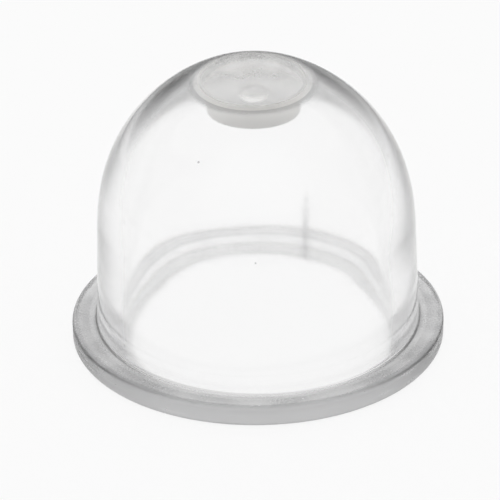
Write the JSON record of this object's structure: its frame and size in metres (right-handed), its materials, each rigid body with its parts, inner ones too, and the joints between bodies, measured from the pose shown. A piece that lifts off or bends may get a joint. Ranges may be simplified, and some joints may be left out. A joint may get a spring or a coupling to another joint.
{
  "type": "primer bulb",
  "caption": "Hollow clear dome of soft plastic on a flat round clamping flange, pressed by a thumb to draw fuel into a small carburettor.",
  "frame": {"origin": "centre of the flange's flat underside", "axes": "+Z along the bulb's axis, from the mouth to the crown"},
  "size_m": [0.019, 0.019, 0.015],
  "materials": {
    "clear_plastic": "clear moulded soft plastic, glossy, with a faint grey edge"
  },
  "bodies": {
    "root": {"primer_bulb": "clear_plastic"}
  },
  "joints": []
}
